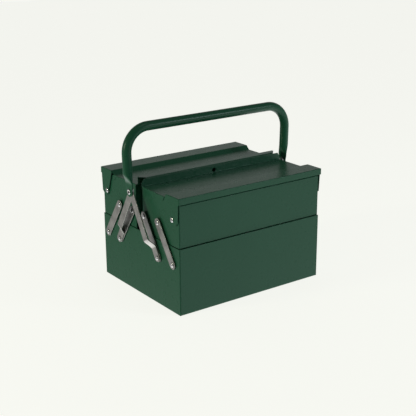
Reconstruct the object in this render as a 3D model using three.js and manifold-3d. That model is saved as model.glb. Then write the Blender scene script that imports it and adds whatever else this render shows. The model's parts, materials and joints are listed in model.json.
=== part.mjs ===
// Cantilever sewing box: a deep bottom box, two lidded trays on swinging links, and a tubular handle
// that folds on four fixed arms. Millimetres, +Z up, +X along the box, origin at the middle of the
// bottom. Each corner of the box is built once, on +X and +Y, and mirrored by its group.
import * as THREE from "three";
import { mergeVertices } from "three/addons/utils/BufferGeometryUtils.js";
import Module from "manifold-3d";

const wasm = await Module();
wasm.setup();

// ---------- driving dimensions ----------
const sheet = 1; // steel sheet of boxes, trays and lids
const gap = 0.3; // clearance between touching pieces
const pinPlay = 0.2; // radial clearance of a rivet in its hole
const pinSides = 10; // facets round a rivet, a washer and a hole

const bottom = { length: 340, depth: 275, height: 131.8 };
const tray = { height: 88.7, lift: 0.4, lipClear: 0.2, sideInset: 1.8, centreGap: 24 };
const tub = { hem: 7, edgeStrip: 1.7, flange: 11 }; // folded rims and the end panels' flanges

const lid = {
  lift: 0.4, // above the tray's rim
  endOverhang: 1.8, // past the ends of the bottom box
  sideOverhang: 2.9, // past its long sides
  ledgeWidth: 40.4,
  ledgeRise: 7.4, // outer ledge above the low panel
  stepRun: 12,
  apron: 12.2, // flange down the long side
  lip: 3.5, // fold down the low panel's ends
  notch: 3, // relief slit between the lip and the tab
  ear: { drop: 9.5, foot: 6, flare: 5 }, // the lip's deeper end, beside the slit
  slant: { front: 6.5, rear: -5 }, // how far the slit leans towards the middle on its way down
};
const tab = {
  width: 43.4, // along the box's depth, at the top
  shoulder: 47.7, // ledge top down to where the outer edge turns in
  taper: 3.4, // how far the outer edge leans in above the shoulder
  depth: 54.7, // ledge top down to the tab's foot
  footOuter: 13.4, // foot's corners, from the outer edge
  footInner: 26.4,
  elbowDrop: 16.7, // ledge top down to the inner edge's elbow, where the slit ends
  corner: 4, // cut at the foot's inner corner
};
const upright = { face: 13, rise: 14.2, cornerRun: 5, cornerDrop: 8 }; // front lid's centre flange
const ridge = {
  back: 8, // rear wall of the ridge, behind the middle
  front: 8.5, // its front skirt, before the middle
  rise: 15.2, // above the low panel
  skirt: 14.4,
  endInset: 4, // its ends, inside the low panel's
  cutRun: 10, // corners cut off the top strip
  cutDepth: 11,
};
const lock = { hole: 9, drop: 9.2 }; // padlock hole, below the upright's top

const link = { width: 17, thickness: 2, edge: 0.8 }; // swinging links
const pivot = { sideInset: 20.5, drop: 34.6, trayRise: 34.8, post: 1.3 }; // post: wall to link
const lidPivot = { inset: 18.5, drop: 36.1 }; // from the tray's outer wall and rim
const arm = { width: 16, thickness: 2, bendStart: 19, bendEnd: 39, stepOut: 9.9 };
const handle = {
  tube: 18.5,
  wall: 1.2,
  reach: 121.7, // hinge to the middle of the bar
  bend: 47, // centreline radius
  splay: 2, // how far each leg leans out by the time it reaches its bend
  hingeDrop: 7.6, // hinge below the tray's rim
  tongueWidth: 20, // at the hinge
  shoulder: 24, // width of the pressed part where the taper starts
  tongueThickness: 2.5,
  legOffset: 1.8, // tongue's middle to the leg's middle
  tongueTop: 14.7, // above the hinge
  tubeStart: 37,
  slit: 0.3, // what is left of the bore between the pressed walls
  boxiness: 0.35, // how square the pressed section is, from 1, round, to 0
};
const rivet = {
  shank: 5,
  head: 9.6,
  dome: 1.5,
  domeSide: [0.75, 0.65], // share of the head's radius, and of the dome's height, at its side
  innerHead: 9,
  innerDome: 1.2,
  bore: 3.6, // the handle's tubular rivets
  tubeHead: 10.8,
  rim: 1, // width of their rolled rims
};
const washerRim = 0.7; // washer's edge past the rivet's head

// ---------- places that follow from them ----------
const halfLength = bottom.length / 2;
const halfDepth = bottom.depth / 2;
const trayFloor = bottom.height + tray.lift;
const trayRim = trayFloor + tray.height;
const trayEnd = halfLength - sheet - tray.lipClear; // inside the lid's end lips
const traySide = halfDepth - tray.sideInset;
const trayInner = tray.centreGap / 2;
const lowTop = trayRim + lid.lift + sheet;
const ledgeTop = lowTop + lid.ledgeRise;
const lidSide = halfDepth + lid.sideOverhang;
const lidEnd = halfLength + lid.endOverhang;
const ledgeInner = lidSide - lid.ledgeWidth;

const outerPivotY = halfDepth - pivot.sideInset;
const innerPivotY = trayInner + link.width / 2 + link.edge;
const linkReach = (outerPivotY - innerPivotY) / 2; // tray pivot stands this far inside its box pivot
const midPivotY = outerPivotY - linkReach;
const boxPivotZ = bottom.height - pivot.drop;
const linkRise = trayFloor + pivot.trayRise - boxPivotZ;
const linkLength = Math.hypot(linkReach, linkRise);
const linkLean = Math.atan2(linkReach, linkRise);
const lidPivotY = traySide - lidPivot.inset;
const lidPivotZ = trayRim - lidPivot.drop;

// the stack of plates along X, from the end walls outwards
const linkIn = halfLength + pivot.post;
const linkOut = linkIn + link.thickness;
const armFootIn = linkOut + gap;
const innerArmIn = armFootIn + arm.stepOut;
const outerArmIn = innerArmIn + arm.thickness + gap;
const tongueIn = outerArmIn + arm.thickness + gap;
const tongueOut = tongueIn + handle.tongueThickness;
const tongueMid = (tongueIn + tongueOut) / 2;
const legX = tongueMid + handle.legOffset;
const hingeZ = trayRim - handle.hingeDrop;
const armReach = Math.hypot(midPivotY, hingeZ - boxPivotZ);
const armLean = Math.atan2(midPivotY, hingeZ - boxPivotZ);

// ---------- solids ----------
const axisX = new THREE.Vector3(1, 0, 0);
const axisY = new THREE.Vector3(0, 1, 0);
const axisZ = new THREE.Vector3(0, 0, 1);
const alongX = new THREE.Matrix4().makeBasis(axisY, axisZ, axisX); // drawn in (y, z), pushed along +X
const alongY = new THREE.Matrix4().makeBasis(axisZ, axisX, axisY); // drawn in (z, x), pushed along +Y
const alongZ = new THREE.Matrix4(); // drawn in (x, y), pushed along +Z

// A closed geometry as a solid that can be joined and cut.
function solid(geometry) {
  const bare = new THREE.BufferGeometry();
  const source = geometry.index ? geometry.toNonIndexed() : geometry;
  bare.setAttribute("position", source.getAttribute("position"));
  const merged = mergeVertices(bare, 1e-4);
  const mesh = new wasm.Mesh({
    numProp: 3,
    vertProperties: new Float32Array(merged.attributes.position.array),
    triVerts: new Uint32Array(merged.index.array),
  });
  return new wasm.Manifold(mesh);
}

function geometryOf(body) {
  const mesh = body.getMesh();
  const geometry = new THREE.BufferGeometry();
  geometry.setAttribute("position", new THREE.BufferAttribute(mesh.vertProperties, 3));
  geometry.setIndex(new THREE.BufferAttribute(mesh.triVerts, 1));
  geometry.computeVertexNormals();
  return geometry;
}

// An outline pushed along an axis, from one place to another.
function push(outline, frame, from, to) {
  const shape = outline instanceof THREE.Shape ? outline : shapeOf(outline);
  const settings = { depth: to - from, bevelEnabled: false, curveSegments: 6 };
  const geometry = new THREE.ExtrudeGeometry(shape, settings);
  geometry.translate(0, 0, from);
  return solid(geometry.applyMatrix4(frame));
}

function shapeOf(points) {
  return new THREE.Shape(points.map(([a, b]) => new THREE.Vector2(a, b)));
}

function rectangle(a0, a1, b0, b1) {
  return [[a0, b0], [a1, b0], [a1, b1], [a0, b1]];
}

function joined(bodies) {
  return bodies.reduce((sum, body) => sum.add(body));
}

function cut(body, tools) {
  return tools.reduce((rest, tool) => rest.subtract(tool), body);
}

// A round pin along X, for drilling a hole.
function pin(radius, x0, x1, y, z) {
  const geometry = new THREE.CylinderGeometry(radius, radius, x1 - x0, pinSides);
  geometry.rotateZ(Math.PI / 2);
  geometry.translate((x0 + x1) / 2, y, z);
  return solid(geometry);
}

function rivetHole(x0, x1, y, z) {
  return pin(rivet.shank / 2 + pinPlay, x0 - 1, x1 + 1, y, z);
}

// A bar with round ends between two centres, drawn in (y, z) with the first centre at the origin.
function roundBar(width, length) {
  const radius = width / 2;
  const shape = new THREE.Shape();
  shape.absarc(0, 0, radius, Math.PI, 2 * Math.PI, false);
  shape.absarc(0, length, radius, 0, Math.PI, false);
  return shape;
}

// The strip that a folded sheet fills: its outer line, and that line moved inwards by the thickness.
function foldedSheet(line, thickness) {
  const points = line.map(([a, b]) => new THREE.Vector2(a, b));
  const normals = points.slice(1).map((p, i) => {
    const along = p.clone().sub(points[i]).normalize();
    return new THREE.Vector2(along.y, -along.x);
  });
  const inner = points.map((p, i) => {
    const before = normals[Math.max(i - 1, 0)];
    const after = normals[Math.min(i, normals.length - 1)];
    const mitre = before.clone().add(after).normalize();
    return p.clone().addScaledVector(mitre, thickness / mitre.dot(after));
  });
  return new THREE.Shape([...points, ...inner.reverse()]);
}

// ---------- boxes ----------
// A tub is a folded wrap (long walls and floor) and two pressed end panels with flanges inside it.
function wrapBody(box) {
  const { y0, y1, z0, z1, end } = box;
  const x1 = end - tub.edgeStrip - gap;
  const fold = 2 * sheet;
  const low = z1 - tub.hem;
  const outline = [
    [y0, z0], [y1, z0], [y1, z1], [y1 - fold, z1], [y1 - fold, low], [y1 - sheet, low],
    [y1 - sheet, z0 + sheet], [y0 + sheet, z0 + sheet], [y0 + sheet, low], [y0 + fold, low],
    [y0 + fold, z1], [y0, z1],
  ];
  return push(outline, alongX, -x1, x1);
}

function endPanelBody(box, holes) {
  const { y0, y1, z0, z1, end } = box;
  const inset = sheet + gap;
  const flangeTop = z1 - tub.hem - gap;
  const inside = end - sheet;
  const hemInset = 2 * sheet + gap;
  const face = push(rectangle(y0, y1, z0, z1), alongX, end - tub.edgeStrip, end);
  const pan = rectangle(y0 + inset, y1 - inset, z0 + inset, flangeTop);
  const panBody = push(pan, alongX, inside - tub.flange, inside + sheet / 2);
  const hollowY = inset + sheet;
  const hollow = rectangle(y0 + hollowY, y1 - hollowY, z0 + hollowY, z1 + sheet);
  const stripHollow = rectangle(y0 + sheet, y1 - sheet, flangeTop, z1 + sheet);
  const hem = rectangle(y0 + hemInset, y1 - hemInset, z1 - tub.hem, z1);
  const shell = cut(face.add(panBody), [
    push(hollow, alongX, inside - tub.flange - 1, inside),
    push(stripHollow, alongX, end - tub.edgeStrip - 1, inside),
  ]);
  const hemBody = push(hem, alongX, inside - sheet, inside + sheet / 2);
  const drills = holes.map(([y, z]) => rivetHole(inside, end, y, z));
  return cut(shell.add(hemBody), drills);
}

const bottomBox = { y0: -halfDepth, y1: halfDepth, z0: 0, z1: bottom.height, end: halfLength };
const trayBox = { y0: trayInner, y1: traySide, z0: trayFloor, z1: trayRim, end: trayEnd };

const boxHoles = [outerPivotY, midPivotY].flatMap((y) => [[y, boxPivotZ], [-y, boxPivotZ]]);
const trayHoles = [
  [midPivotY, boxPivotZ + linkRise],
  [innerPivotY, boxPivotZ + linkRise],
  [lidPivotY, lidPivotZ],
];

// ---------- lids ----------
// Both lids share the ledge, its apron and step, the low panel and the end tabs.
function lidLine(innerLine) {
  return [
    [lidSide, ledgeTop - lid.apron],
    [lidSide, ledgeTop],
    [ledgeInner, ledgeTop],
    [ledgeInner - lid.stepRun, lowTop],
    ...innerLine,
  ].reverse();
}

// Height of the step's outer face between the low panel and the ledge.
function stepHeight(y) {
  return ledgeTop - (ledgeInner - y) * (lid.ledgeRise / lid.stepRun);
}

function tabOutline(slant) {
  const inner = lidSide - tab.width;
  return [
    [lidSide, ledgeTop],
    [lidSide - tab.taper, ledgeTop - tab.shoulder],
    [lidSide - tab.footOuter, ledgeTop - tab.depth],
    [lidSide - tab.footInner + tab.corner, ledgeTop - tab.depth],
    [lidSide - tab.footInner, ledgeTop - tab.depth + tab.corner],
    [inner - slant, ledgeTop - tab.elbowDrop],
    [inner, stepHeight(inner)],
    [ledgeInner, ledgeTop],
  ];
}

// One end of a lid, on +X: the tab, the ledge's overhang and the lip under the low panel.
function lidEndBodies(innerY, slant) {
  const tabInner = lidSide - tab.width;
  const lipEnd = tabInner - lid.notch;
  const earFoot = lipEnd - slant;
  const inSheet = sheet / 2;
  const overhang = foldedSheet(
    [
      [tabInner, stepHeight(tabInner)],
      [ledgeInner, ledgeTop],
      [lidSide, ledgeTop],
      [lidSide, ledgeTop - lid.apron],
    ],
    sheet,
  );
  const lip = [
    [innerY, lowTop - inSheet],
    [innerY, lowTop - lid.lip],
    [earFoot - lid.ear.foot - lid.ear.flare, lowTop - lid.lip],
    [earFoot - lid.ear.foot, lowTop - lid.ear.drop],
    [earFoot, lowTop - lid.ear.drop],
    [lipEnd, stepHeight(lipEnd) - inSheet],
    [ledgeInner - lid.stepRun, lowTop - inSheet],
  ];
  return {
    add: [
      push(overhang, alongX, halfLength - sheet, lidEnd),
      push(tabOutline(slant), alongX, lidEnd - sheet, lidEnd),
      push(lip, alongX, halfLength - sheet, halfLength),
    ],
    drill: rivetHole(lidEnd - sheet, lidEnd, lidPivotY, lidPivotZ),
  };
}

function mirroredX(body) {
  const geometry = geometryOf(body).toNonIndexed();
  const place = geometry.attributes.position;
  for (let i = 0; i < place.count; i += 3) {
    const [ax, ay, az] = [place.getX(i + 1), place.getY(i + 1), place.getZ(i + 1)];
    place.setXYZ(i + 1, place.getX(i + 2), place.getY(i + 2), place.getZ(i + 2));
    place.setXYZ(i + 2, ax, ay, az);
  }
  return solid(geometry.scale(-1, 1, 1));
}

function bothEnds(body) {
  return [body, mirroredX(body)];
}

// A lid: the folded panel and its two ends, with its corners cut off and its holes drilled.
function lidBody(innerLine, innerY, slant, cornerCuts, lockDrills) {
  const panel = push(foldedSheet(lidLine(innerLine), sheet), alongX, -halfLength, halfLength);
  const end = lidEndBodies(innerY, slant);
  const whole = joined([panel, ...end.add.flatMap(bothEnds)]);
  return cut(whole, [...bothEnds(end.drill), ...cornerCuts.flatMap(bothEnds), ...lockDrills]);
}

function lockDrill(y0, y1) {
  const geometry = new THREE.CylinderGeometry(lock.hole / 2, lock.hole / 2, y1 - y0, pinSides);
  geometry.translate(0, (y0 + y1) / 2, lowTop + upright.rise - lock.drop);
  return solid(geometry);
}

// The front lid ends in an upright flange beside the middle; it is drawn on +Y like its tray.
function frontLidBody() {
  const top = lowTop + upright.rise;
  const line = [[upright.face, lowTop], [upright.face, top]];
  const corner = [
    [top - upright.cornerDrop, halfLength],
    [top, halfLength - upright.cornerRun],
    [top + 1, halfLength - upright.cornerRun],
    [top + 1, halfLength + 1],
    [top - upright.cornerDrop, halfLength + 1],
  ];
  const cornerCut = push(corner, alongY, upright.face - 2 * sheet, upright.face + sheet);
  const drill = lockDrill(upright.face - 2 * sheet, upright.face + sheet);
  return lidBody(line, upright.face, lid.slant.front, [cornerCut], [drill]);
}

// The rear lid's ridge covers the middle: a rear wall, a top strip and a skirt behind the upright.
function rearLidBody() {
  const top = lowTop + ridge.rise;
  const line = [
    [ridge.back, lowTop],
    [ridge.back, top],
    [-ridge.front, top],
    [-ridge.front, top - ridge.skirt],
  ];
  const stripEnd = halfLength - ridge.endInset;
  const skirtEnd = stripEnd - ridge.cutRun;
  const past = halfLength + 1;
  const strip = [
    [skirtEnd, -ridge.front - 1], [past, -ridge.front - 1], [past, ridge.back + 1],
    [stripEnd, ridge.back + 1], [stripEnd, ridge.cutDepth - ridge.front],
    [skirtEnd, -ridge.front],
  ];
  const stripCut = push(strip, alongZ, lowTop, top + 1);
  const skirt = rectangle(top - ridge.skirt - 1, top + 1, skirtEnd, past);
  const skirtCut = push(skirt, alongY, -ridge.front - 1, -ridge.front + sheet + gap);
  const drill = lockDrill(-ridge.front - 1, ridge.back + 2 * sheet);
  return lidBody(line, ridge.back + sheet, lid.slant.rear, [stripCut, skirtCut], [drill]);
}

// ---------- links, arms and handle ----------
function linkBody() {
  const bar = push(roundBar(link.width, linkLength), alongX, linkIn, linkOut);
  return cut(bar, [rivetHole(linkIn, linkOut, 0, 0), rivetHole(linkIn, linkOut, 0, linkLength)]);
}

// A fixed arm: a flat bar with its foot on the inner link and its upper part stepped outwards.
function armBody(upperIn) {
  const half = arm.width / 2;
  const topOut = upperIn + arm.thickness;
  const footOut = armFootIn + arm.thickness;
  const side = [
    [-half - 1, armFootIn], [arm.bendStart, armFootIn], [arm.bendEnd, upperIn],
    [armReach + half + 1, upperIn], [armReach + half + 1, topOut],
    [arm.bendEnd - 1, topOut], [arm.bendStart - 1, footOut], [-half - 1, footOut],
  ];
  const bent = push(side, alongY, -half - 1, half + 1);
  const plan = push(roundBar(arm.width, armReach), alongX, armFootIn - 1, topOut + 1);
  return cut(bent.intersect(plan), [
    rivetHole(armFootIn, footOut, 0, 0),
    rivetHole(upperIn, topOut, 0, armReach),
  ]);
}

// How far along the handle's centreline each ring of its surface stands, for one half.
const barHeight = handle.reach;
const legStraight = barHeight - handle.bend;
const arcLength = (Math.PI / 2) * handle.bend;
const barHalf = legX + handle.splay - handle.bend;
const tongueEnd = handle.tongueWidth / 2;
const halfRun = tongueEnd + legStraight + arcLength + barHalf;

// The centreline from the tongue's foot, up the leg, round the bend and along the bar.
function handlePoint(run) {
  const up = run - tongueEnd;
  if (up <= legStraight) {
    const flat = THREE.MathUtils.smoothstep(up, handle.tongueTop, handle.tubeStart);
    const splay = handle.splay * THREE.MathUtils.smoothstep(up, 0, legStraight);
    const x = THREE.MathUtils.lerp(tongueMid, legX, flat) + splay;
    return { x, z: hingeZ + up, turn: 0, flat: 1 - flat };
  }
  if (up <= legStraight + arcLength) {
    const turn = (up - legStraight) / handle.bend;
    const x = barHalf + handle.bend * Math.cos(turn);
    return { x, z: hingeZ + legStraight + handle.bend * Math.sin(turn), turn, flat: 0 };
  }
  const x = barHalf - (up - legStraight - arcLength);
  return { x, z: hingeZ + barHeight, turn: Math.PI / 2, flat: 0 };
}

function handleStations() {
  const round = [0, 0.05, 0.15, 0.3, 0.5, 0.75, 1].map((t) => t * tongueEnd);
  const steps = (from, to, count) =>
    Array.from({ length: count }, (_, i) => from + ((to - from) * (i + 1)) / count);
  const taperStart = tongueEnd + handle.tongueTop;
  const taperEnd = tongueEnd + handle.tubeStart;
  const bendStart = tongueEnd + legStraight;
  return [
    ...round, ...steps(tongueEnd, taperStart, 3), ...steps(taperStart, taperEnd, 5), bendStart,
    ...steps(bendStart, bendStart + arcLength, 7),
  ];
}

// The section's half sizes: a round tube, pressed flat at the tongue, whose foot is rounded. The
// bore keeps the wall's thickness from them, and is pressed to a slit.
function handleSection(run, flat, bore) {
  const rim = THREE.MathUtils.clamp(run, 0, tongueEnd);
  const foot = Math.max(Math.sqrt(rim * (2 * tongueEnd - rim)), rivet.bore / 2);
  const spread = THREE.MathUtils.smoothstep(run, tongueEnd, tongueEnd + handle.tongueTop);
  const pressed = THREE.MathUtils.lerp(foot, handle.shoulder / 2, spread);
  const wall = bore ? handle.wall : 0;
  const tongueHalf = (bore ? handle.slit : handle.tongueThickness) / 2;
  return {
    thin: THREE.MathUtils.lerp(handle.tube / 2 - wall, tongueHalf, flat),
    wide: THREE.MathUtils.lerp(handle.tube / 2, pressed, flat) - wall,
    square: THREE.MathUtils.lerp(1, handle.boxiness, flat),
  };
}

const squared = (value, power) => Math.sign(value) * Math.abs(value) ** power;

// One skin of the handle, from foot to foot: a cylinder whose rings are moved to their stations.
function handleSkin(sides, bore) {
  const half = bore ? [-1, ...handleStations()] : handleStations();
  const runs = [...half, ...half.map((run) => 2 * halfRun - run).reverse()];
  const geometry = new THREE.CylinderGeometry(1, 1, runs.length - 1, sides, runs.length - 1);
  const place = geometry.attributes.position;
  for (let i = 0; i < place.count; i += 1) {
    const run = runs[Math.round(place.getY(i) + (runs.length - 1) / 2)];
    const mirrored = run > halfRun ? -1 : 1;
    const at = handlePoint(run > halfRun ? 2 * halfRun - run : run);
    const size = handleSection(run > halfRun ? 2 * halfRun - run : run, at.flat, bore);
    const outwards = squared(place.getX(i), size.square) * size.thin;
    const across = -squared(place.getZ(i), size.square) * size.wide;
    const x = at.x + outwards * Math.cos(at.turn);
    place.setXYZ(i, mirrored * x, across, at.z + outwards * Math.sin(at.turn));
  }
  return solid(geometry);
}

function handleBody() {
  const drill = rivetHole(tongueIn, tongueOut, 0, hingeZ);
  return cut(handleSkin(16, false), [handleSkin(8, true), ...bothEnds(drill)]);
}

// ---------- rivets and washers ----------
// A turned shape about the X axis, from a list of [x, radius].
function turned(profile) {
  const points = profile.map(([x, radius]) => new THREE.Vector2(radius, x));
  const geometry = new THREE.LatheGeometry(points, pinSides);
  return geometry.rotateZ(-Math.PI / 2);
}

// A rivet from its inner head to its dome, with a collar that fills a space between two plates.
function rivetGeometry(inner, outer, collar) {
  const shank = rivet.shank / 2;
  const head = rivet.head / 2;
  const back = rivet.innerHead / 2;
  const base = outer + gap;
  const seat = inner - gap;
  const [domeRun, domeRise] = rivet.domeSide;
  const collarPart = collar
    ? [[collar[0] + gap, shank], [collar[0] + gap, head - gap], [collar[1] - gap, head - gap],
      [collar[1] - gap, shank]]
    : [];
  return turned([
    [seat - rivet.innerDome, 0], [seat - rivet.innerDome, back * domeRun], [seat, back],
    [seat, shank], ...collarPart, [base, shank], [base, head],
    [base + rivet.dome * domeRise, head * domeRun], [base + rivet.dome, 0],
  ]);
}

// The handle's rivets are tubes with rolled rims.
function tubeRivetGeometry(inner, outer) {
  const shank = rivet.shank / 2;
  const head = rivet.tubeHead / 2;
  const bore = rivet.bore / 2;
  const rim = rivet.rim;
  const domeRise = rivet.domeSide[1];
  const base = outer + gap;
  const seat = inner - gap;
  return turned([
    [seat - rivet.innerDome, bore], [seat - rivet.innerDome, shank + rim], [seat, head - rim],
    [seat, shank], [base, shank], [base, head], [base + rivet.dome * domeRise, head - rim],
    [base + rivet.dome, bore + rim], [base + rivet.dome * domeRise, bore],
    [seat - rivet.innerDome, bore],
  ]);
}

function washerGeometry(from, to) {
  const bore = rivet.shank / 2 + pinPlay;
  const rim = rivet.head / 2 + washerRim;
  const inner = from + gap;
  const outer = to - gap;
  return turned([[inner, bore], [inner, rim], [outer, rim], [outer, bore], [inner, bore]]);
}

// ---------- the assembly ----------
const paint = { color: 0x2b4d3b, roughness: 0.45, metalness: 0.1 };
const zincPlate = { color: 0xa6a399, roughness: 0.42, metalness: 0.9 };
const brightSteel = { color: 0xc9cbcc, roughness: 0.2, metalness: 1 };

function addPiece(parent, name, geometry, finish) {
  const mesh = new THREE.Mesh(geometry, new THREE.MeshStandardMaterial(finish));
  mesh.name = name;
  parent.add(mesh);
  return mesh;
}

function groupAt(parent, y, z, turn) {
  const group = new THREE.Group();
  group.position.set(0, y, z);
  group.rotation.x = turn;
  parent.add(group);
  return group;
}

function mirrorGroup(parent, x, y) {
  const group = new THREE.Group();
  group.scale.set(x, y, 1);
  parent.add(group);
  return group;
}

const trayPivotZ = boxPivotZ + linkRise;
const wall = halfLength - sheet;
const trayWall = trayEnd - sheet;
const shapes = {
  bottomWrap: geometryOf(wrapBody(bottomBox)),
  bottomEnd: geometryOf(endPanelBody(bottomBox, boxHoles)),
  trayWrap: geometryOf(wrapBody(trayBox)),
  trayEnd: geometryOf(endPanelBody(trayBox, trayHoles)),
  link: geometryOf(linkBody()),
  frontArm: geometryOf(armBody(outerArmIn)),
  rearArm: geometryOf(armBody(innerArmIn)),
  outerRivet: rivetGeometry(wall, linkOut, [halfLength, linkIn]),
  innerRivet: rivetGeometry(wall, armFootIn + arm.thickness, [halfLength, linkIn]),
  trayRivet: rivetGeometry(trayWall, linkOut, null),
  lidRivet: rivetGeometry(trayWall, lidEnd, [trayEnd, lidEnd - sheet]),
  handleRivet: tubeRivetGeometry(innerArmIn, tongueOut),
  washer: washerGeometry(trayEnd, linkIn),
};

const sewingBox = new THREE.Group();
const sides = { front: -1, rear: 1 };
const ends = { left: -1, right: 1 };

addPiece(sewingBox, "bottom_wrap", shapes.bottomWrap, paint);
addPiece(sewingBox, "handle", geometryOf(handleBody()), paint);

for (const [end, endSign] of Object.entries(ends)) {
  const endGroup = mirrorGroup(sewingBox, endSign, 1);
  addPiece(endGroup, `bottom_${end}_end`, shapes.bottomEnd, paint);
  const hinge = groupAt(endGroup, 0, hingeZ, 0);
  addPiece(hinge, `handle_${end}_rivet`, shapes.handleRivet, brightSteel);
}

for (const [side, sideSign] of Object.entries(sides)) {
  const sideGroup = mirrorGroup(sewingBox, 1, sideSign);
  addPiece(sideGroup, `${side}_tray_wrap`, shapes.trayWrap, paint);
  const lidShape = side === "front" ? frontLidBody() : rearLidBody();
  addPiece(sideGroup, `${side}_lid`, geometryOf(lidShape), paint);

  for (const [end, endSign] of Object.entries(ends)) {
    const corner = mirrorGroup(sideGroup, endSign, 1);
    const name = `${side}_${end}`;
    addPiece(corner, `${side}_tray_${end}_end`, shapes.trayEnd, paint);

    const outerPivot = groupAt(corner, outerPivotY, boxPivotZ, linkLean);
    addPiece(outerPivot, `${name}_outer_link`, shapes.link, zincPlate);
    const outerRivet = groupAt(corner, outerPivotY, boxPivotZ, 0);
    addPiece(outerRivet, `${name}_outer_box_rivet`, shapes.outerRivet, brightSteel);

    const innerPivot = groupAt(corner, midPivotY, boxPivotZ, linkLean);
    addPiece(innerPivot, `${name}_inner_link`, shapes.link, zincPlate);
    const armPivot = groupAt(corner, midPivotY, boxPivotZ, armLean);
    addPiece(armPivot, `${name}_arm`, shapes[`${side}Arm`], zincPlate);
    const innerRivet = groupAt(corner, midPivotY, boxPivotZ, 0);
    addPiece(innerRivet, `${name}_inner_box_rivet`, shapes.innerRivet, brightSteel);

    const trayPivots = { outer: midPivotY, inner: innerPivotY };
    for (const [which, y] of Object.entries(trayPivots)) {
      const pivotGroup = groupAt(corner, y, trayPivotZ, 0);
      addPiece(pivotGroup, `${name}_${which}_tray_rivet`, shapes.trayRivet, brightSteel);
      addPiece(pivotGroup, `${name}_${which}_washer`, shapes.washer, brightSteel);
    }
    const lidGroup = groupAt(corner, lidPivotY, lidPivotZ, 0);
    addPiece(lidGroup, `${name}_lid_rivet`, shapes.lidRivet, brightSteel);
  }
}

export default sewingBox;
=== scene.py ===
import json
import math

import bmesh
import bpy
from mathutils import Matrix, Vector


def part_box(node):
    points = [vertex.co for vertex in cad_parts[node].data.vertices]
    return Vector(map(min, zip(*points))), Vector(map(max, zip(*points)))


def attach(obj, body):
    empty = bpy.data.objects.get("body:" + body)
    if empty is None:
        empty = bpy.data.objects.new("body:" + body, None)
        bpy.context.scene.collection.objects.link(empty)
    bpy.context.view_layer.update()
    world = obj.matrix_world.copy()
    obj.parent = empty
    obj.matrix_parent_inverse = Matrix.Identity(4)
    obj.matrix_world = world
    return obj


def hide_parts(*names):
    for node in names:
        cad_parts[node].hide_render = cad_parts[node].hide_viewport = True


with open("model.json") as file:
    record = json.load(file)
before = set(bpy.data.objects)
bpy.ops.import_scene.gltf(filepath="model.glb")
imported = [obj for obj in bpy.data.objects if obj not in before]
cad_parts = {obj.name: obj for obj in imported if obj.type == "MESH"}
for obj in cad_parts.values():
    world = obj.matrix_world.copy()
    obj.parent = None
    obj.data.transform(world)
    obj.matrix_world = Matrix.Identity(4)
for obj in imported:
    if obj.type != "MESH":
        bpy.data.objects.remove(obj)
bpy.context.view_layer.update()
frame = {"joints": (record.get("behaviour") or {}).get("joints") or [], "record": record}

# Looks of a cantilever sewing box: painted sheet steel, zinc-plated links and bright rivets.
# Everything is in metres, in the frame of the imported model.
mm = 0.001
scene = bpy.context.scene
joints = {joint["name"]: joint for joint in frame["joints"]}
bodies = frame["record"]["behaviour"]["bodies"]
bodyOf = {node: body for body, nodes in bodies.items() for node in nodes}
sides = {"front": -1, "rear": 1}
ends = {"left": -1, "right": 1}
near = mm / 10  # places closer than this count as the same

# Where the camera stands: angles in degrees, lens in millimetres.
cameraSet = {
    "azimuth": -35.79,
    "elevation": 18.01,
    "roll": -0.348,
    "distance": 1.8574,
    "lens": 78.65,
    "lookAt": (0, 0.0086, 0.1415),
}


def makeCamera(settings):
    azimuth = math.radians(settings["azimuth"])
    elevation = math.radians(settings["elevation"])
    flat = math.cos(elevation)
    back = Vector((math.sin(azimuth) * flat, -math.cos(azimuth) * flat, math.sin(elevation)))
    camera = bpy.data.objects.new("camera", bpy.data.cameras.new("camera"))
    camera.data.lens = settings["lens"]
    camera.location = Vector(settings["lookAt"]) + back * settings["distance"]
    facing = (-back).to_track_quat("-Z", "Y").to_matrix()
    roll = Matrix.Rotation(math.radians(settings["roll"]), 3, "Z")
    camera.rotation_euler = (facing @ roll).to_euler()
    scene.collection.objects.link(camera)
    scene.camera = camera


makeCamera(cameraSet)
print("camera placed")


# Adds a node: inputs given as sockets are linked, the others are set.
def addNode(tree, kind, inputs=None, **settings):
    node = tree.nodes.new(kind)
    for key, value in settings.items():
        setattr(node, key, value)
    for key, value in (inputs or {}).items():
        if isinstance(value, bpy.types.NodeSocket):
            tree.links.new(value, node.inputs[key])
        else:
            node.inputs[key].default_value = value
    return node


def makeGroup(name, inputs, outputs):
    group = bpy.data.node_groups.new(name, "ShaderNodeTree")
    for label, kind, value in inputs:
        socket = group.interface.new_socket(label, in_out="INPUT", socket_type="NodeSocket" + kind)
        if value is not None:
            socket.default_value = value
    for label, kind in outputs:
        group.interface.new_socket(label, in_out="OUTPUT", socket_type="NodeSocket" + kind)
    entry = group.nodes.new("NodeGroupInput")
    leave = group.nodes.new("NodeGroupOutput")
    return group, entry.outputs, leave


def wire(tree, source, node, name):
    tree.links.new(source, node.inputs[name])


def mixed(tree, factor, first, second):
    node = addNode(tree, "ShaderNodeMix", {0: factor, 6: first, 7: second}, data_type="RGBA")
    return node.outputs[2]


# Turns the range from start to end into the range from low to high.
def spread(tree, value, low, high, start=0, end=1):
    node = addNode(tree, "ShaderNodeMapRange", {"Value": value, "From Min": start, "From Max": end,
                                                "To Min": low, "To Max": high})
    return node.outputs["Result"]


def noise(tree, vector, scale, detail, roughness):
    node = addNode(tree, "ShaderNodeTexNoise", {"Vector": vector, "Scale": scale,
                                                "Detail": detail, "Roughness": roughness})
    return node.outputs["Fac"]


def maths(tree, operation, first, second):
    return addNode(tree, "ShaderNodeMath", {0: first, 1: second}, operation=operation).outputs[0]


def towards(tree, way, direction):
    node = addNode(tree, "ShaderNodeVectorMath", {0: way, 1: direction}, operation="DOT_PRODUCT")
    return node.outputs["Value"]


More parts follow.
